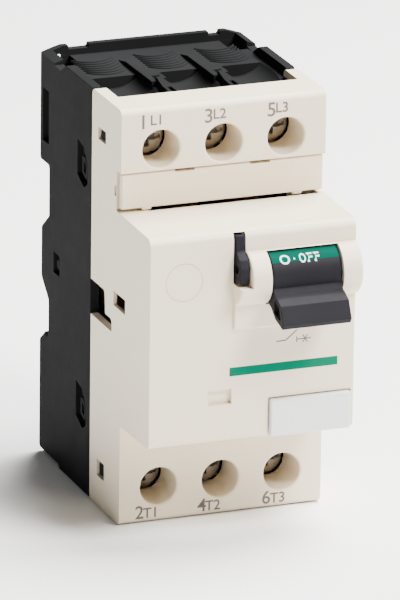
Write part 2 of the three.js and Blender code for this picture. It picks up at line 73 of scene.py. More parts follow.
def node_span(node, axis):
    """Lowest and highest coordinate of a node along x, depth or z."""
    low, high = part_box(node)
    if axis == "depth":
        return ((REAR_Y - high[1]) / MM, (REAR_Y - low[1]) / MM)
    index = {"x": 0, "z": 2}[axis]
    return (low[index] / MM, high[index] / MM)


# Cover: faces by depth, blocks by height. SPLIT is where the casing ends and the cover begins.
SPLIT = node_span("front_cover", "depth")[0]
COVER_WALL = 1.6
TERMINAL_FACE = 48.6
LOWER_TERMINAL_FACE = 49.2
FRONT = 66.0
MAIN_BOTTOM = 22.2
MAIN_TOP = 66.9
WINDOW_INNER = 19.0

# Cover of the auxiliary slot, hinged on FLAP_SEAT, with two slits to pry it open
FLAP_SEAT = 46.0
FLAP_Z = (67.8, 75.3)
FLAP_FRONT = node_span("aux_slot_cover", "depth")[1]
PRY_SLIT_X = (-8.25, 8.15)

# Poles, their terminal rows and the screwdriver bores
POLE_PITCH = 13.6
POLES = (-POLE_PITCH, 0.0, POLE_PITCH)
LINE_Z = 80.1
LOAD_Z = 7.65
BORE_R = 4.0
BORE_END = 39.8
SCREW_HEAD_R = 3.8
SCREW_HEAD_DEPTH = 39.85

# Casing: top deck, the notch in the cover above it, and the rail channel. Cutters reach up to ABOVE_CASING.
DECK_HALF = 19.3
DECK_WELL_HALF = 20.3
DECK_Z = 86.9
DECK_FRONT = 19.4
ABOVE_CASING = 92
NOTCH_HALF = 19.6
NOTCH_DEPTH = 39.3
RAIL_FLOOR = 5.6
RAIL_TOP = 64.5
RAIL_BOTTOM = 28.3

# Handle: PIVOT is (depth, z). The drum turns between the left guard and the right one.
PIVOT = (64.8, 56.8)
DRUM_R = 5.35
DRUM_X = node_span("toggle_lever", "x")
LEVER_TIP = node_span("toggle_lever", "depth")[1]
CRANK_REACH = 7.5
CRANK_ANGLE = math.radians(144)
GUARD_R = 5.85
LEFT_GUARD = (-1.75, 2.4)
RIGHT_GUARD_X = 18.0
PEDESTAL_LEFT = -4.25
PEDESTAL_BOTTOM = 46.1
SLOT_X = (-4.3, -1.75)
SLOT_Z = (55.9, 66.5)

# Printing: thickness over the surface, and where the word on the drum is centred, in degrees above forward
PRINT_THICKNESS = 0.03
OFF_ANGLE = 47

# Floor and lights, in metres
FLOOR_SIZE = 8
FLOOR_GAP = 0.0002
LIGHTS = (
    ("key", (0.42, -0.6, 0.85), 0.4, 25.0, (1.0, 0.985, 0.96)),
    ("top", (0.32, 0.1, 0.85), 0.6, 36.0, (1.0, 0.99, 0.97)),
    ("left_fill", (-0.8, -0.15, 0.35), 0.6, 0.25, (1.0, 0.99, 0.97)),
)

# Camera: the point it looks at as (x, depth, z), its distance from there, its direction and its lens
CAMERA_TARGET = (-1.489, 40.0, 43.77)
CAMERA_DISTANCE = 1542.35
CAMERA_AZIMUTH = math.radians(21.051)
CAMERA_ELEVATION = math.radians(18.712)
CAMERA_ROLL = math.radians(0.73)
CAMERA_LENS = 450.06


def place(x, depth, z):
    """A point in metres from millimetres across, forwards from the rear face, and up."""
    return Vector((x * MM, REAR_Y - depth * MM, z * MM))


# ---------------------------------------------------------------- camera, light and floor

def make_camera():
    back = Vector((-math.sin(CAMERA_AZIMUTH) * math.cos(CAMERA_ELEVATION),
                   -math.cos(CAMERA_AZIMUTH) * math.cos(CAMERA_ELEVATION), math.sin(CAMERA_ELEVATION)))
    right = Vector((math.cos(CAMERA_AZIMUTH), -math.sin(CAMERA_AZIMUTH), 0))
    up = back.cross(right)
    cos_roll, sin_roll = math.cos(CAMERA_ROLL), math.sin(CAMERA_ROLL)
    right, up = cos_roll * right + sin_roll * up, -sin_roll * right + cos_roll * up
    data = bpy.data.cameras.new("camera")
    data.lens = CAMERA_LENS
    data.sensor_width = 36
    data.sensor_fit = "AUTO"
    camera = bpy.data.objects.new("camera", data)
    turn = Matrix((right, up, back)).transposed().to_4x4()
    target = place(*CAMERA_TARGET)
    camera.matrix_world = Matrix.Translation(target + back * CAMERA_DISTANCE * MM) @ turn
    bpy.context.collection.objects.link(camera)
    bpy.context.scene.camera = camera


def area_light(name, location, target, size, power, color):
    data = bpy.data.lights.new(name, "AREA")
    data.shape = "DISK"
    data.size = size
    data.energy = power
    data.color = color
    light = bpy.data.objects.new(name, data)
    light.location = location
    direction = Vector(target) - Vector(location)
    light.rotation_euler = direction.to_track_quat("-Z", "Y").to_euler()
    bpy.context.collection.objects.link(light)


def make_studio():
    world = bpy.data.worlds.new("studio")
    bpy.context.scene.world = world
    world.use_nodes = True
    background = world.node_tree.nodes["Background"]
    background.inputs["Color"].default_value = (1.0, 1.0, 1.0, 1)
    background.inputs["Strength"].default_value = 0.17
    centre = (0, 0, HEIGHT * MM / 2)
    for name, location, size, power, color in LIGHTS:
        area_light(name, location, centre, size, power, color)
    bpy.ops.mesh.primitive_plane_add(size=FLOOR_SIZE, location=(0, 0, -FLOOR_GAP))
    floor = bpy.context.object
    floor.name = "floor"
    material = bpy.data.materials.new("pale_floor")
    material.use_nodes = True
    shader = material.node_tree.nodes["Principled BSDF"]
    shader.inputs["Base Color"].default_value = (0.95, 0.95, 0.95, 1)
    shader.inputs["Roughness"].default_value = 0.7
    floor.data.materials.append(material)


# ---------------------------------------------------------------- materials

def node_material(name):
    material = bpy.data.materials.new(name)
    material.use_nodes = True
    tree = material.node_tree
    return material, tree, tree.nodes["Principled BSDF"]


def noise(tree, scale, detail, roughness=0.5):
    coordinates = tree.nodes.new("ShaderNodeTexCoord")
    texture = tree.nodes.new("ShaderNodeTexNoise")
    texture.inputs["Scale"].default_value = scale
    texture.inputs["Detail"].default_value = detail
    texture.inputs["Roughness"].default_value = roughness
    tree.links.new(coordinates.outputs["Object"], texture.inputs["Vector"])
    return texture


def ramp(tree, source, stops):
    """A colour ramp over a source value. Stops are (position, colour) pairs."""
    node = tree.nodes.new("ShaderNodeValToRGB")
    elements = node.color_ramp.elements
    while len(elements) < len(stops):
        elements.new(0.5)
    for element, (position, color) in zip(elements, stops):
        element.position = position
        element.color = (*color, 1)
    tree.links.new(source, node.inputs["Fac"])
    return node


def spread(tree, source, low, high):
    """A source value of 0 to 1 mapped to low to high."""
    node = tree.nodes.new("ShaderNodeMapRange")
    node.inputs["To Min"].default_value = low
    node.inputs["To Max"].default_value = high
    tree.links.new(source, node.inputs["Value"])
    return node.outputs["Result"]


def add_bump(tree, shader, height, strength, distance):
    """Surface relief from a height value. distance is in metres."""
    bump = tree.nodes.new("ShaderNodeBump")
    bump.inputs["Strength"].default_value = strength
    bump.inputs["Distance"].default_value = distance
    tree.links.new(height, bump.inputs["Height"])
    tree.links.new(bump.outputs["Normal"], shader.inputs["Normal"])


def moulded_plastic(name, color, shift, rough, grain=0.10, gloss=0.35, index=1.45):
    """Moulded plastic: faint cloudy tone, spark-eroded grain and uneven gloss.

    shift is how far the tone strays from color, as a share of it.
    """
    material, tree, shader = node_material(name)
    cloud = noise(tree, 60, 4)
    low = tuple(max(0, c * (1 - shift)) for c in color)
    high = tuple(min(1, c * (1 + shift)) for c in color)
    tone = ramp(tree, cloud.outputs["Fac"], ((0.35, low), (0.65, high)))
    tree.links.new(tone.outputs["Color"], shader.inputs["Base Color"])
    patches = noise(tree, 350, 5)
    roughness = spread(tree, patches.outputs["Fac"], rough - 0.06, rough + 0.06)
    tree.links.new(roughness, shader.inputs["Roughness"])
    fine = noise(tree, 9000, 2, 0.6)
    add_bump(tree, shader, fine.outputs["Fac"], grain, 0.00003)
    shader.inputs["Specular IOR Level"].default_value = gloss
    shader.inputs["IOR"].default_value = index
    return material


def plated_metal(name, color, rough, metallic=1.0):
    """Plated metal with a fine turning grain and slightly tarnished patches."""
    material, tree, shader = node_material(name)
    patches = noise(tree, 500, 5)
    tarnished = tuple(c * s for c, s in zip(color, (0.8, 0.78, 0.74)))
    tone = ramp(tree, patches.outputs["Fac"], ((0.3, tarnished), (0.6, color)))
    tree.links.new(tone.outputs["Color"], shader.inputs["Base Color"])
    shader.inputs["Metallic"].default_value = metallic
    roughness = spread(tree, patches.outputs["Fac"], rough - 0.08, rough + 0.12)
    tree.links.new(roughness, shader.inputs["Roughness"])
    scratches = noise(tree, 4000, 3)
    add_bump(tree, shader, scratches.outputs["Fac"], 0.15, 0.00002)
    return material


CREAM = moulded_plastic("ivory_plastic", (0.76, 0.66, 0.50), 0.012, 0.42)
BLACK = moulded_plastic("black_plastic", (0.0135, 0.0138, 0.0145), 0.10, 0.55, grain=0.2, gloss=0.035,
                        index=1.2)
CHARCOAL = moulded_plastic("charcoal_plastic", (0.0145, 0.0142, 0.0172), 0.08, 0.42, grain=0.25, gloss=0.08,
                           index=1.25)
WHITE = moulded_plastic("white_plastic", (0.72, 0.71, 0.715), 0.01, 0.35)
GREEN = moulded_plastic("green_ink", (0.0, 0.13, 0.073), 0.03, 0.45, grain=0.05, gloss=0.03, index=1.2)
DEEP_GREEN = moulded_plastic("deep_green_ink", (0.0, 0.058, 0.04), 0.03, 0.45, grain=0.05, gloss=0.05,
                             index=1.2)
PRINT = moulded_plastic("grey_print", (0.135, 0.112, 0.105), 0.05, 0.5, grain=0.05, gloss=0.2)
PALE_PRINT = moulded_plastic("pale_print", (0.52, 0.70, 0.70), 0.03, 0.4, grain=0.05)
NICKEL = plated_metal("nickel_plate", (0.46, 0.43, 0.37), 0.42, 0.8)
STEEL = plated_metal("zinc_plate", (0.50, 0.51, 0.53), 0.35)
COPPER = plated_metal("bare_copper", (0.72, 0.40, 0.25), 0.32)
BRASS = plated_metal("satin_brass", (0.70, 0.55, 0.28), 0.32)
SLOT_MATERIALS = {
    "cream_plastic": CREAM, "black_plastic": BLACK, "charcoal_plastic": CHARCOAL, "white_plastic": WHITE,
    "nickel_steel": NICKEL, "zinc_steel": STEEL, "copper": COPPER, "brass": BRASS,
}


def dress_nodes():
    """Every node of the frame gets the material of its slot."""
    for part in frame["record"]["subparts"]:
        node = frame["nodes"][part["node"]]
        node.data.materials.clear()
        node.data.materials.append(SLOT_MATERIALS[part["material_slot"]])


# ---------------------------------------------------------------- mesh helpers

def link(name, mesh):
    piece = bpy.data.objects.new(name, mesh)
    bpy.context.collection.objects.link(piece)
    return piece


def solid(name, mesh):
    """A piece from a bmesh, which is freed."""
    data = bpy.data.meshes.new(name)
    mesh.to_mesh(data)
    mesh.free()
    return link(name, data)


def bevelled(mesh, edges, bevel, segments):
    bmesh.ops.bevel(mesh, geom=edges, offset=bevel * MM, segments=segments, profile=0.5,
                    affect="EDGES", clamp_overlap=True)


def rounded(corners, steps=5):
    """An outline from (a, b) or (a, b, radius) corners, with an arc at each corner that has a radius."""
    points = []
    count = len(corners)
    for index, corner in enumerate(corners):
        here = Vector(corner[:2])
        radius = corner[2] if len(corner) > 2 else 0
        if not radius:
            points.append(here)
            continue
        before = (Vector(corners[index - 1][:2]) - here).normalized()
        after = (Vector(corners[(index + 1) % count][:2]) - here).normalized()
        half = before.angle(after) / 2
        reach = radius / math.tan(half)
        centre = here + (before + after).normalized() * (radius / math.sin(half))
        start = here + before * reach - centre
        sweep = start.angle_signed(here + after * reach - centre)
        for step in range(steps + 1):
            turn = Matrix.Rotation(-sweep * step / steps, 2)
            points.append(centre + turn @ start)
    return points


def prism(name, outline, low, high, along="x", bevel=0.0, segments=3, keep=None):
    """A closed prism. along x: outline (depth, z); along depth: (x, z); along z: (x, depth).

    bevel rounds the two end loops, except edges whose two ends both satisfy keep(point in metres).
    """
    to_point = {
        "x": lambda a, b, t: place(t, a, b),
        "depth": lambda a, b, t: place(a, t, b),
        "z": lambda a, b, t: place(a, b, t),
    }[along]
    mesh = bmesh.new()
    rings = [[mesh.verts.new(to_point(a, b, t)) for a, b in outline] for t in (low, high)]
    ends = [mesh.faces.new(rings[0]), mesh.faces.new(rings[1])]
    count = len(outline)
    for index in range(count):
        following = (index + 1) % count
        mesh.faces.new((rings[0][index], rings[0][following], rings[1][following], rings[1][index]))
    bmesh.ops.recalc_face_normals(mesh, faces=mesh.faces)
    if bevel:
        edges = [edge for face in ends for edge in face.edges
                 if not (keep and all(keep(vert.co) for vert in edge.verts))]
        bevelled(mesh, edges, bevel, segments)
    return solid(name, mesh)


def box(name, xs, depths, zs, bevel=0.0, segments=3):
    """A box from its spans, with all twelve edges rounded by bevel."""
    mesh = bmesh.new()
    bmesh.ops.create_cube(mesh, size=1)
    size = Vector((xs[1] - xs[0], depths[1] - depths[0], zs[1] - zs[0])) * MM
    middle = place(sum(xs) / 2, sum(depths) / 2, sum(zs) / 2)
    matrix = Matrix.Translation(middle) @ Matrix.Diagonal((*size, 1))
    bmesh.ops.transform(mesh, matrix=matrix, verts=mesh.verts)
    if bevel:
        bevelled(mesh, list(mesh.edges), bevel, segments)
    return solid(name, mesh)


def turned(name, profile, origin, axis="depth", sides=48):
    """A solid turned round x or depth. profile is (radius, distance along the axis) from end to end."""
    mesh = bmesh.new()
    rings = []
    for radius, reach in profile:
        if radius <= 1e-6:
            rings.append([mesh.verts.new((0, 0, reach * MM))])
            continue
        rings.append([mesh.verts.new((radius * MM * math.cos(2 * math.pi * side / sides),
                                      radius * MM * math.sin(2 * math.pi * side / sides), reach * MM))
                      for side in range(sides)])
    for first, second in zip(rings, rings[1:]):
        for side in range(sides):
            following = (side + 1) % sides
            if len(first) == 1:
                mesh.faces.new((first[0], second[following], second[side]))
            elif len(second) == 1:
                mesh.faces.new((first[side], first[following], second[0]))
            else:
                mesh.faces.new((first[side], first[following], second[following], second[side]))
    for ring, end in ((rings[0], 0), (rings[-1], 1)):
        if len(ring) > 1:
            mesh.faces.new(ring if end else ring[::-1])
    bmesh.ops.recalc_face_normals(mesh, faces=mesh.faces)
    turn = Matrix.Rotation(math.radians(90), 4, {"depth": "X", "x": "Y"}[axis])
    mesh.transform(Matrix.Translation(place(*origin)) @ turn)
    return solid(name, mesh)


def swept(name, loops, closed=False):
    """A solid over loops of four points in metres, closed into a ring or with a face at each end."""
    mesh = bmesh.new()
    rings = [[mesh.verts.new(point) for point in loop] for loop in loops]
    for first, second in zip(rings, rings[1:] + rings[:1] if closed else rings[1:]):
        for corner in range(4):
            after = (corner + 1) % 4
            mesh.faces.new((first[corner], first[after], second[after], second[corner]))
    if not closed:
        mesh.faces.new(rings[0])
        mesh.faces.new(rings[-1])
    bmesh.ops.recalc_face_normals(mesh, faces=mesh.faces)
    return solid(name, mesh)


def flatten_modifiers(piece):
    graph = bpy.context.evaluated_depsgraph_get()
    mesh = bpy.data.meshes.new_from_object(piece.evaluated_get(graph))
    piece.modifiers.clear()
    piece.data = mesh


def combine(target, operands, operation):
    """Joins or cuts target with each operand, and removes the operands."""
    for operand in operands:
        modifier = target.modifiers.new("combine", "BOOLEAN")
        modifier.operation = operation
        modifier.object = operand
        modifier.solver = "EXACT"
        flatten_modifiers(target)
        bpy.data.objects.remove(operand)
    return target


def cut(target, *operands):
    return combine(target, operands, "DIFFERENCE")


def add(target, *operands):
    return combine(target, operands, "UNION")


def merge(name, pieces):
    """One piece out of several, each keeping its own surface."""
    mesh = bmesh.new()
    for piece in pieces:
        mesh.from_mesh(piece.data)
        bpy.data.objects.remove(piece)
    return solid(name, mesh)


def finish_piece(piece, material, body, replaces=(), angle=35):
    """Smooth shading, a material and its place in the frame."""
    piece.data.materials.clear()
    piece.data.materials.append(material)
    piece.data.shade_smooth()
    piece.data.set_sharp_from_angle(angle=math.radians(angle))
    piece.modifiers.new("even_normals", "WEIGHTED_NORMAL").keep_sharp = True
    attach(piece, body)
    if replaces:
        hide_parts(*replaces)


# ---------------------------------------------------------------- front cover

def bore_cutter(x, z, face):
    """A screwdriver bore with a softly rounded mouth."""
    lip, steps = 0.5, 4
    profile = [(0, -30), (BORE_R, -30), (BORE_R, -lip)]
    for step in range(1, steps + 1):
        angle = math.pi / 2 * step / steps
        profile.append((BORE_R + lip * (1 - math.cos(angle)), -lip + lip * math.sin(angle)))
    profile += [(BORE_R + lip, 5), (0, 5)]
    return turned("bore", profile, (x, face, z))


def cover_shell():
    outline = rounded([
        (SPLIT, 0, 0.5), (LOWER_TERMINAL_FACE, 0, 1.3), (LOWER_TERMINAL_FACE, MAIN_BOTTOM - 0.6),
        (FRONT, MAIN_BOTTOM, 1.2), (FRONT, MAIN_TOP, 1.9), (FLAP_SEAT, MAIN_TOP + 0.2),
        (FLAP_SEAT, FLAP_Z[1] + 0.3), (TERMINAL_FACE, FLAP_Z[1] + 0.3), (TERMINAL_FACE, HEIGHT, 1.5),
        (SPLIT, HEIGHT, 1.3)])
    shell = prism("front_cover_shell", outline, -HALF_WIDTH, HALF_WIDTH, bevel=1.0, segments=4,
                  keep=lambda co: (REAR_Y - co.y) / MM < SPLIT + 0.05)
    inner = HALF_WIDTH - COVER_WALL
    for face, zs in ((FLAP_SEAT, (60, HEIGHT - COVER_WALL)),
                     (TERMINAL_FACE, (77.2, HEIGHT - COVER_WALL)),
                     (FRONT, (MAIN_BOTTOM + 1, MAIN_TOP - COVER_WALL)),
                     (LOWER_TERMINAL_FACE, (COVER_WALL, 24))):
        cut(shell, box("hollow", (-inner, inner), (SPLIT - 1, face - COVER_WALL), zs))
    return shell


def guard(xs, edge=0.45, steps=3):
    """A round boss on the handle's axis, with rounded rims."""
    angles = [math.pi / 2 * step / steps for step in range(steps + 1)]
    inner = GUARD_R - edge
    profile = [(0, xs[0])]
    profile += [(inner + edge * math.sin(angle), xs[0] + edge - edge * math.cos(angle)) for angle in angles]
    profile += [(inner + edge * math.cos(angle), xs[1] - edge + edge * math.sin(angle)) for angle in angles]
    profile.append((0, xs[1]))
    return turned("guard", profile, (0, *PIVOT), "x", 72)


def guard_skirt():
    """The lower part of the left guard, carried on below the tab slot to the pedestal's left edge."""
    skirt = guard((PEDESTAL_LEFT, LEFT_GUARD[0] + 1), 0.6)
    return cut(skirt, box("above", (-10, 10), (40, 80), (SLOT_Z[0] - 0.05, 80)))


def bore_tubes(z, face):
    """The tubes behind one row of bores."""
    outer = BORE_R + 0.9
    profile = [(0, BORE_END - face), (outer, BORE_END - face), (outer, -0.8), (0, -0.8)]
    return merge("tubes", [turned("tube", profile, (x, face, z), sides=40) for x in POLES])


def side_windows(shell):
    """The latch windows and the notch through each side wall, which is thinned behind the front ones."""
    for side in (1, -1):
        cut(shell, box("thin", sorted((side * WINDOW_INNER, side * (HALF_WIDTH - 0.8))), (40, 56), (44, 52)))
        xs = sorted((side * WINDOW_INNER, side * (HALF_WIDTH + 1)))
        for depths, zs in (((35.1, 39.6), (79.2, 81.8)), ((35.6, 40.0), (6.5, 10.1)),
                           ((44.7, 51.6), (46.5, 49.6)), ((44.8, 45.9), (70.1, 72.4))):
            cut(shell, box("window", xs, depths, zs))
        notch = rounded([(30, 48), (39.5, 48, 0.8), (40.0, 43.1), (43.8, 43.1, 1.0), (43.8, 40.4),
                         (30, 40.4)], 4)
        cut(shell, prism("notch", notch, *xs))


def front_cover():
    shell = cover_shell()
    upper = bore_tubes(LINE_Z, TERMINAL_FACE)
    lower = bore_tubes(LOAD_Z, LOWER_TERMINAL_FACE)
    cut(upper, box("trim", (-30, 30), (FLAP_SEAT, 60), (60, FLAP_Z[1] + 0.3)))
    add(shell, upper, lower)
    pedestal = rounded([(65, PEDESTAL_BOTTOM), (66.7, PEDESTAL_BOTTOM, 0.35), (66.9, 53), (65, 53)], 3)
    plate = prism("plate", pedestal, PEDESTAL_LEFT, HALF_WIDTH - 0.15, bevel=0.3, segments=2)
    add(shell, plate, guard((LEFT_GUARD[0], HALF_WIDTH)), guard_skirt())
    for x in POLES:
        cut(shell, bore_cutter(x, LINE_Z, TERMINAL_FACE), bore_cutter(x, LOAD_Z, LOWER_TERMINAL_FACE))
    pocket_z = (PIVOT[1] - 5.75, PIVOT[1] + 5.55)
    cut(shell, box("pocket", (LEFT_GUARD[1], RIGHT_GUARD_X), (56, 76), pocket_z))
    cut(shell, box("tab_slot", SLOT_X, (50, 76), SLOT_Z))
    cut(shell, box("gap", (-15.9, 21.0), (44.0, 48.1), (64, FLAP_Z[0] - 0.05)))
    for x in PRY_SLIT_X:
        cut(shell, box("slit", (x - 2.1, x + 2.1), (35, FLAP_SEAT + 0.5), (FLAP_Z[1] - 1.7, FLAP_Z[1] + 0.2)))
    side_windows(shell)
    notch = [(-NOTCH_HALF, 30), (-NOTCH_HALF, NOTCH_DEPTH), (NOTCH_HALF, NOTCH_DEPTH), (NOTCH_HALF, 30)]
    cut(shell, prism("notch", notch, 80, ABOVE_CASING, along="z"), prism("notch", notch, -3, 5, along="z"))
    cut(shell, box("small_window", (-9.5, -4.35), (FRONT - 1.0, 70), (30.2, 33.4)))
    plate_seat = [(3.6, 21), (21.7, 21), (21.7, 30.6), (3.6, 30.6)]
    cut(shell, prism("seat", plate_seat, FRONT - 0.8, 70, along="depth"))
    cut(shell, ring_groove((-14.97, FRONT, 57.24), 3.95, 0.11, 0.12))
    finish_piece(shell, CREAM, "root", ["front_cover"])


def ring_groove(origin, radius, half_width, depth, sides=72):
    """A thin tube wall that cuts a round groove into a front face."""
    inner, outer = radius - half_width, radius + half_width
    section = [(inner, -depth), (outer, -depth), (outer, 1), (inner, 1)]
    angles = [2 * math.pi * side / sides for side in range(sides)]
    loops = [[place(origin[0] + r * math.cos(angle), origin[1] + t, origin[2] + r * math.sin(angle))
              for r, t in section] for angle in angles]
    return swept("groove", loops, closed=True)


# ---------------------------------------------------------------- base casing

def base_body():
    front = SPLIT - 0.3
    outline = rounded([
        (0.3, 24.9, 0.5), (0.3, 0.8, 0.9), (12.3, 0.8), (12.8, 0, 0.2), (front, 0, 0.4), (front, HEIGHT, 0.6),
        (9, HEIGHT), (0.3, HEIGHT, 0.2), (0, 88.4, 0.3), (0, RAIL_TOP, 0.7), (RAIL_FLOOR, RAIL_TOP, 0.9),
        (RAIL_FLOOR, 53.5, 0.9), (1.1, 50, 1.2), (1.1, 39, 1.2), (RAIL_FLOOR, 35, 0.9),
        (RAIL_FLOOR, RAIL_BOTTOM, 0.3), (4.9, 26.6, 0.2), (3.7, 27.5, 0.2)], 4)
    return prism("base_casing_shell", outline, -HALF_WIDTH, HALF_WIDTH, bevel=0.3, segments=2)


def bowl(x):
    """The dished funnel in front of a pole's grip ribs."""
    mesh = bmesh.new()
    bmesh.ops.create_uvsphere(mesh, u_segments=40, v_segments=20, radius=1)
    scale = Matrix.Diagonal((6.3 * MM, 15.5 * MM, 4.2 * MM, 1))
    mesh.transform(Matrix.Translation(place(x, 24.5, 88.4)) @ scale)
    return cut(solid("bowl", mesh), box("behind", (x - 10, x + 10), (0, DECK_FRONT), (70, 100)))


def ridge(path, z, width, height):
    """A low ridge along a path of (x, depth) points, narrower at the top."""
    loops = []
    for index, (x, depth) in enumerate(path):
        near = Vector(path[max(index - 1, 0)])
        far = Vector(path[min(index + 1, len(path) - 1)])
        along = (far - near).normalized()
        side = Vector((-along.y, along.x)) * width / 2
        loops.append([place(x + side.x * share, depth + side.y * share, z + lift)
                      for share, lift in ((1, 0), (0.3, height), (-0.3, height), (-1, 0))])
    return swept("ridge", loops)


def grip_ribs():
    """Seven nested arcs on the deck behind each wire entry."""
    radius, steps = 5.1, 14
    angles = [math.radians(-58 + 118 * step / steps) for step in range(steps + 1)]
    ribs = []
    for x in POLES:
        for index in range(7):
            path = [(x + 0.2 + radius * math.sin(angle), 3.6 + 1.5 * index + radius * math.cos(angle))
                    for angle in angles]
            ribs.append(ridge(path, 86.75, 0.5, 0.42))
    return merge("grip_ribs", ribs)


def partition(x):
    """The wall between two poles: a rear blade with a hook, and a forked front blade."""
    outline = rounded([(8.5, 84), (8.5, 86.95), (13.0, 87.9), (28.6, 88.1), (28.6, 84)])
    rear = prism("blade", outline, x - 1.5, x - 0.1, bevel=0.15, segments=2)
    hook = box("hook", (x - 0.6, x + 2.6), (22.4, 24.2), (84, 87.95), 0.2, 2)
    hook_tip = box("hook_tip", (x + 1.5, x + 2.6), (23.6, 26.4), (84, 87.95), 0.2, 2)
    tip = NOTCH_DEPTH - 0.3
    front = rounded([(x - 0.2, 27.4), (x + 0.9, 27.4), (x + 1.1, 33.6), (x + 1.4, tip), (x + 0.5, tip),
                     (x + 0.3, 34.6), (x - 0.5, 34.6), (x - 0.4, tip), (x - 1.4, tip), (x - 1.2, 33.6)])
    fork = prism("fork", front, 84, 88.7, along="z", bevel=0.15, segments=2)
    return [rear, hook, hook_tip, fork]


def d_recess(shell, side, low):
    """A D-shaped recess in a side, with a hollow boss in it. low is the recess's lowest point."""
    xs = sorted((side * (HALF_WIDTH - 1.2), side * (HALF_WIDTH + 1)))
    outline = rounded([(22.8, low + 9.4, 0.3), (22.8, low + 1.8, 0.3), (26.8, low, 0.3),
                       (28.8, low + 1.2, 0.6), (28.8, low + 5.5, 1.5), (26.4, low + 8.6, 0.6)], 3)
    cut(shell, prism("d_recess", outline, *xs))
    boss = rounded([(24.6, low + 6.4, 0.4), (24.6, low + 2.6, 0.4), (26.8, low + 1.6, 0.4),
                    (27.8, low + 2.4, 0.5), (27.8, low + 4.6, 1.0), (26.4, low + 6.4, 0.8)], 3)
    boss_xs = sorted((side * (HALF_WIDTH - 1.3), side * (HALF_WIDTH - 0.35)))
    add(shell, prism("boss", boss, *boss_xs, bevel=0.15, segments=1))
    hole = rounded([(25.6, low + 5.4, 0.3), (25.6, low + 3.2, 0.3), (26.9, low + 2.6, 0.3),
                    (27.2, low + 4.6, 0.6)], 3)
    cut(shell, prism("boss_hole", hole, xs[0] - 0.3, xs[1] + 0.3))


def side_details(shell):
    """Slots, recesses, buttons and deck corners on both sides. The left corner has a slot through it."""
    for side in (1, -1):
        xs = sorted((side * (HALF_WIDTH - 1.2), side * (HALF_WIDTH + 1)))
        cut(shell, box("slot", xs, (1.6, 5.4), (69, 80.4), 0.15, 1))
        cut(shell, box("recess", xs, (8.7, 12.4), (42.2, 46.7), 0.15, 1))
        for low in (66.2, 13.7):
            d_recess(shell, side, low)
        profile = [(0, -1.2), (1.35, -1.2), (1.35, 0.1), (1.05, 0.45), (0, 0.6)]
        add(shell, turned("button", [(radius, side * reach) for radius, reach in profile],
                          (side * (HALF_WIDTH - 0.9), 10.6, 44.3), "x", 32))
        dip = rounded([(8.7, ABOVE_CASING), (8.7, 87.2), (12.0, 86.9), (15.7, 89.1), (15.7, ABOVE_CASING)])
        cut(shell, prism("dip", dip, *sorted((side * 20.25, side * (HALF_WIDTH + 1)))))
        cut(shell, box("corner_pit", sorted((side * 16.6, side * 20.22)), (2.07, 9.6), (83.4, 91.3)))
        if side < 0:
            cut(shell, box("corner_slot", (-19.9, -17.9), (-1, 3), (84.2, 87.3)))
        corner = rounded([(side * 24, 87.0), (side * 17.9, 89.05), (side * 17.9, ABOVE_CASING),
                          (side * 24, ABOVE_CASING)])
        cut(shell, prism("corner", corner, -1, 9.5, along="depth"))


def snap_tongues():
    """Four tongues that reach into the cover, each with a catch in one of its side windows."""
    tongues = []
    for side in (1, -1):
        for zs, depths, hook_z in (((77.6, 83.2), (35.35, 39.3), (79.4, 81.6)),
                                   ((5, 11.6), (35.85, 39.7), (6.7, 9.9))):
            tongues.append(box("tongue", sorted((side * 19.4, side * 20.3)), (31.2, 40.5), zs, 0.15, 1))
            tongues.append(box("catch", sorted((side * 20.31, side * 21.75)), depths, hook_z, 0.15, 1))
    return merge("snap_tongues", tongues)


def base_casing():
    shell = base_body()
    cut(shell, box("hollow", (-20.4, 20.4), (8, 40), (3, 82)))
    for zs in ((84.2, 87.0), (0, 2.2)):
        add(shell, box("extension", (-DECK_HALF, DECK_HALF), (29, NOTCH_DEPTH - 0.3), zs, 0.2, 2))
    cut(shell, box("rear_hollow", (-17, 17), (2.2, 9), (67, 81.6)))
    deck = rounded([(2.0, ABOVE_CASING), (2.0, DECK_Z), (DECK_FRONT, DECK_Z), (DECK_FRONT, ABOVE_CASING)])
    cut(shell, prism("deck_cut", deck, -DECK_WELL_HALF, DECK_WELL_HALF))
    cut(shell, box("front_cut", (-DECK_WELL_HALF, DECK_WELL_HALF), (19.3, 40), (DECK_Z, ABOVE_CASING)))
    for x in POLES:
        cut(shell, bowl(x))
    for xs in ((-16.9, -12.2), (14.2, 16.9)):
        cut(shell, box("lip_cut", xs, (-1, 2.2), (88.1, ABOVE_CASING), 0.3, 2))
    for x in (-POLE_PITCH / 2, POLE_PITCH / 2):
        add(shell, *partition(x))
    for x in POLES:
        for zs in ((80, ABOVE_CASING), (-2, 10)):
            cut(shell, box("entry", (x - 4.5, x + 4.5), (33.3, 38.3), zs))
    side_details(shell)
    cut(shell, box("clip_guide", (-8.4, 8.4), (-1, 4.6), (-1, RAIL_BOTTOM + 1)))
    add(shell, box("spring_stop", (-1.6, 1.6), (1.2, 5), (6.4, 8), 0.15, 1))
    for xs in ((-16, -9.5), (9.5, 16)):
        add(shell, box("rail_lip", xs, (2.6, 4.2), (62.9, RAIL_TOP + 1), 0.2, 2))
    finish_piece(shell, BLACK, "root", ["base_casing"])
    finish_piece(grip_ribs(), BLACK, "root")
    finish_piece(snap_tongues(), BLACK, "root")


# ---------------------------------------------------------------- slot cover, marker plate

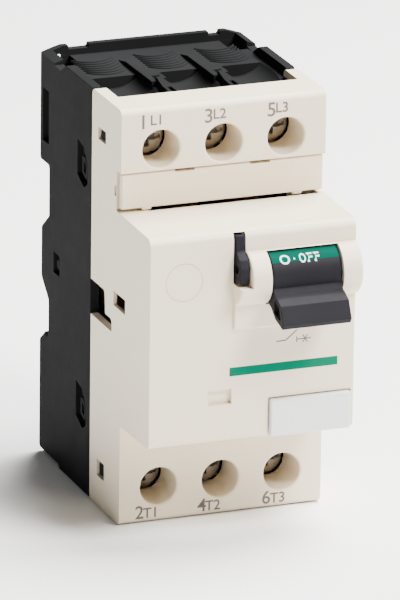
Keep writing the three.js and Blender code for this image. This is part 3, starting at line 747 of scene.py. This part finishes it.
def slot_cover():
    low, high = FLAP_Z
    inside = FLAP_FRONT - 1.5
    flap = box("slot_cover_plate", (-21.95, 21.95), (inside, FLAP_FRONT), (low, high), 0.35, 3)
    for x in PRY_SLIT_X:
        cut(flap, box("pry_slot", (x - 2.15, x + 2.15), (inside - 1, FLAP_FRONT + 1), (high - 0.5, 80)))
    lug = [(0, -1.0), (0.45, -1.0), (0.6, -0.8), (0.6, 0.8), (0.45, 1.0), (0, 1.0)]
    for x in (-16.4, 16.4):
        add(flap, turned("lug", lug, (x, 47.55, low), "x", 20))
    finish_piece(flap, CREAM, "slot_cover", ["aux_slot_cover"])


def marker_plate():
    spans = [node_span("marker_plate", axis) for axis in ("x", "depth", "z")]
    plate = box("marker_plate_cap", *spans, 0.4, 4)
    finish_piece(plate, WHITE, "root", ["marker_plate"])


# ---------------------------------------------------------------- rocker handle

def toggle():
    """The drum, its grip and crank, and what is printed on it."""
    left, right = DRUM_X
    edge = 0.25
    profile = [(0, left), (DRUM_R - edge, left), (DRUM_R, left + edge),
               (DRUM_R, right - edge), (DRUM_R - edge, right), (0, right)]
    drum = turned("toggle_drum", profile, (0, *PIVOT), "x", 96)
    grip = rounded([
        (64, 56), (69.0, 56.0), (70.3, 54.9, 0.2), (70.9, 54.1, 0.2), (72.2, 53.7, 0.2), (74.2, 52.8, 0.35),
        (LEVER_TIP, 49.3, 0.2), (75.3, 48.2, 0.2), (71.2, 49.2, 0.8), (69, 50.8), (66, 52)], 3)
    lever = prism("toggle_grip", grip, *DRUM_X, bevel=0.18, segments=2)
    hollow = rounded([(70.6, 50.6, 0.3), (70.8, 53.2, 0.3), (73.3, 52.2, 0.3), (74.5, 49.7, 0.3),
                      (71.8, 50, 0.3)], 3)
    cut(lever, prism("hollow", hollow, 0, left + 2.4), prism("hollow", hollow, right - 2.4, 20))
    add(drum, lever, crank_lug())
    finish_piece(drum, CHARCOAL, "toggle", ["toggle_lever"])
    finish_piece(drum_band(40.5, 72), DEEP_GREEN, "toggle", angle=60)
    for name, text, xs in (("off_ring", "O", (4.7, 6.85)), ("off_dot", ".", (7.65, 8.0)),
                           ("off_o", "O", (8.9, 10.3)), ("off_f", "F", (10.6, 11.8)),
                           ("off_f_end", "F", (12.1, 13.3))):
        finish_piece(drum_text(name, text, xs, OFF_ANGLE), PALE_PRINT, "toggle")
    finish_piece(drum_band(-75, -50), PALE_PRINT, "toggle", angle=60)


def crank_lug():
    """The crank at the back of the drum, which drives the link."""
    pin = (PIVOT[0] + CRANK_REACH * math.cos(CRANK_ANGLE), PIVOT[1] + CRANK_REACH * math.sin(CRANK_ANGLE))
    web = turned("crank", [(0, 9.3), (2.4, 9.3), (2.4, 12), (0, 12)], (0, *pin), "x", 32)
    hole = turned("crank_hole", [(0, 5), (1.3, 5), (1.3, 15), (0, 15)], (0, *pin), "x", 24)
    return cut(web, hole)


def drum_band(low, high, steps=12):
    """A thin printed band round part of the drum, from a low to a high angle in degrees above forward."""
    inner, outer = DRUM_R - 0.2, DRUM_R + PRINT_THICKNESS
    left, right = DRUM_X[0] + 0.2, DRUM_X[1] - 0.2
    angles = [math.radians(low + (high - low) * step / steps) for step in range(steps + 1)]
    loops = [[place(x, PIVOT[0] + r * math.cos(angle), PIVOT[1] + r * math.sin(angle))
              for x, r in ((left, inner), (left, outer), (right, outer), (right, inner))] for angle in angles]
    return swept("drum_band_%d" % abs(round(low)), loops)


def text_mesh(name, text, size, weight):
    """Printed characters as a thin mesh in the XY plane. weight thickens their strokes."""
    curve = bpy.data.curves.new(name, "FONT")
    curve.body = text
    curve.size = size * MM
    curve.offset = weight * MM
    curve.extrude = 0.015 * MM
    curve.resolution_u = 6
    source = link(name + "_text", curve)
    graph = bpy.context.evaluated_depsgraph_get()
    mesh = bpy.data.meshes.new_from_object(source.evaluated_get(graph))
    bpy.data.objects.remove(source)
    return link(name, mesh)


def front_text(name, text, x, z, size, depth, weight):
    """Characters on a front face: x is the left edge and z the base line."""
    piece = text_mesh(name, text, size, weight)
    left = min(vert.co.x for vert in piece.data.vertices)
    turn = Matrix.Rotation(math.radians(90), 4, "X")
    spot = Matrix.Translation(place(x, depth + 0.02, z))
    piece.data.transform(spot @ turn @ Matrix.Translation((-left, 0, 0)))
    return piece


def drum_text(name, text, xs, angle):
    """A character wrapped round the drum between two x positions, centred on an angle above forward."""
    piece = text_mesh(name, text, 2.9, 0.06)
    points = [vert.co for vert in piece.data.vertices]
    left, right = min(point.x for point in points), max(point.x for point in points)
    middle = (min(point.y for point in points) + max(point.y for point in points)) / 2
    for point in points:
        turn = math.radians(angle) + (point.y - middle) / MM / DRUM_R
        radius = DRUM_R + 0.045 + point.z / MM
        across = xs[0] + (xs[1] - xs[0]) * (point.x - left) / (right - left)
        point.xyz = place(across, PIVOT[0] + radius * math.cos(turn), PIVOT[1] + radius * math.sin(turn))
    return piece


def toggle_shaft():
    low, high = node_span("toggle_shaft", "x")
    radius, edge = 1.1, 0.2
    profile = [(0, low), (0.9, low), (radius, low + edge), (radius, high - edge), (0.9, high), (0, high)]
    rod = turned("toggle_shaft_rod", profile, (0, *PIVOT), "x", 32)
    finish_piece(rod, STEEL, "root", ["toggle_shaft"])


def padlock_tab():
    profile = rounded([(52, 56.25), (69.0, 56.25, 0.5), (69.3, 59.6, 1.2), (68.4, 61.4, 0.9),
                       (66.4, 62.8, 0.8), (66.1, 66, 0.3), (63.4, 66, 0.3), (63.4, 62), (52, 62)])
    tab = prism("padlock_tab_plate", profile, -4.0, -2.05, bevel=0.2, segments=2)
    cut(tab, turned("eye", [(0, -6), (1.0, -6), (1.0, 0), (0, 0)], (0, 67.0, 59.2), "x", 32))
    finish_piece(tab, CHARCOAL, "padlock_tab", ["padlock_tab"])


# ---------------------------------------------------------------- rail clip and terminal screws

def rail_clip():
    profile = rounded([(0.6, 4), (4.2, 4), (4.2, 31, 0.4), (3.2, 31, 0.4), (0.6, 26.5, 0.8)], 4)
    clip = prism("rail_clip_slider", profile, -8, 8, bevel=0.25, segments=2)
    add(clip, box("pull", (-4.5, 4.5), (0.6, 4.2), (1.2, 5), 0.25, 2))
    cut(clip, box("window", (-2.2, 2.2), (-1, 6), (5.4, 18)))
    finish_piece(clip, CHARCOAL, "rail_clip", ["rail_clip"])


def screw(x, z, row, pole):
    """A combined slot and cross head with a turned rim, over a ribbed shank."""
    radius, face = SCREW_HEAD_R, SCREW_HEAD_DEPTH
    root, crest, pitch = 1.5, 1.75, 0.5
    profile = [(0, -17.0), (1.1, -17.0), (root, -16.4)]
    reach = -16.2
    while reach < -2.9:
        profile += [(root, reach), (crest, reach + pitch / 2)]
        reach += pitch
    profile += [(crest, -2.4), (radius - 0.1, -2.4), (radius, -2.2), (radius, -0.7), (radius - 0.25, -0.3),
                (radius - 0.8, -0.06), (2.2, 0.0), (0, 0.0)]
    piece = turned("%s_screw_head_%d" % (row, pole), profile, (x, face, z))
    cut(piece, box("slot", (x - 3.0, x + 3.0), (face - 1.1, face + 1), (z - 0.45, z + 0.45)))
    for half_x, half_z in ((0.55, 2.1), (2.1, 0.7)):
        cross = [(x - half_x, z - half_z), (x + half_x, z - half_z),
                 (x + half_x, z + half_z), (x - half_x, z + half_z)]
        cut(piece, prism("cross", cross, face - 1.7, face + 1, along="depth"))
    name = "%s_screw_%d" % (row, pole)
    finish_piece(piece, NICKEL, name, [name])


# ---------------------------------------------------------------- printing on the cover

def strip(points, width, depth):
    """A thin printed line through (x, z) points on a front face."""
    loops = []
    for index, point in enumerate(points):
        here = Vector(point)
        before = (here - Vector(points[index - 1])).normalized() if index else None
        after = (Vector(points[index + 1]) - here).normalized() if index + 1 < len(points) else None
        along = ((before or after) + (after or before)).normalized()
        normal = Vector((-along.y, along.x))
        reach = width / 2 / max(0.5, normal.dot(Vector((-(after or before).y, (after or before).x))))
        left, right, front = here + normal * reach, here - normal * reach, depth + PRINT_THICKNESS
        loops.append([place(left.x, depth, left.y), place(right.x, depth, right.y),
                      place(right.x, front, right.y), place(left.x, front, left.y)])
    return swept("strip", loops)


def front_print():
    """The switch symbol, the green stripe and the marks of the terminals."""
    lines = [
        strip([(5.2, 42.5), (7.3, 42.55), (9.69, 44.56)], 0.22, FRONT),
        strip([(9.65, 43.1), (9.65, 41.9)], 0.2, FRONT),
        strip([(9.76, 42.5), (12.75, 42.5)], 0.2, FRONT),
        strip([(10.96, 43.35), (11.98, 41.7)], 0.2, FRONT + 0.002),
        strip([(11.98, 43.3), (10.96, 41.75)], 0.2, FRONT + 0.004),
    ]
    finish_piece(merge("switch_symbol", lines), PRINT, "root")
    stripe = box("green_stripe", (-4.9, 18.65), (FRONT - 0.01, FRONT + PRINT_THICKNESS), (36.1, 37.95))
    finish_piece(stripe, GREEN, "root")
    marks = []
    for index, x in enumerate(POLES):
        inset = (5.1, 5.06, 4.3)[index]
        for text, left, base, size, face in (
                (str(2 * index + 1), x - 4.2, 84.75, 4.2, TERMINAL_FACE),
                ("L%d" % (index + 1), x - 2.35, 85.4, 3.0, TERMINAL_FACE),
                (str(2 * index + 2), x - inset, 1.0, 4.0, LOWER_TERMINAL_FACE),
                ("T%d" % (index + 1), x - inset + 1.7, 1.05, 3.1, LOWER_TERMINAL_FACE)):
            marks.append(front_text("mark", text, left, base, size, face, 0.045))
    finish_piece(merge("terminal_marks", marks), PRINT, "root")


make_camera()
make_studio()
dress_nodes()
front_cover()
base_casing()
slot_cover()
marker_plate()
toggle()
toggle_shaft()
padlock_tab()
rail_clip()
for number, pole_x in enumerate(POLES, 1):
    screw(pole_x, LINE_Z, "line", number)
    screw(pole_x, LOAD_Z, "load", number)
front_print()
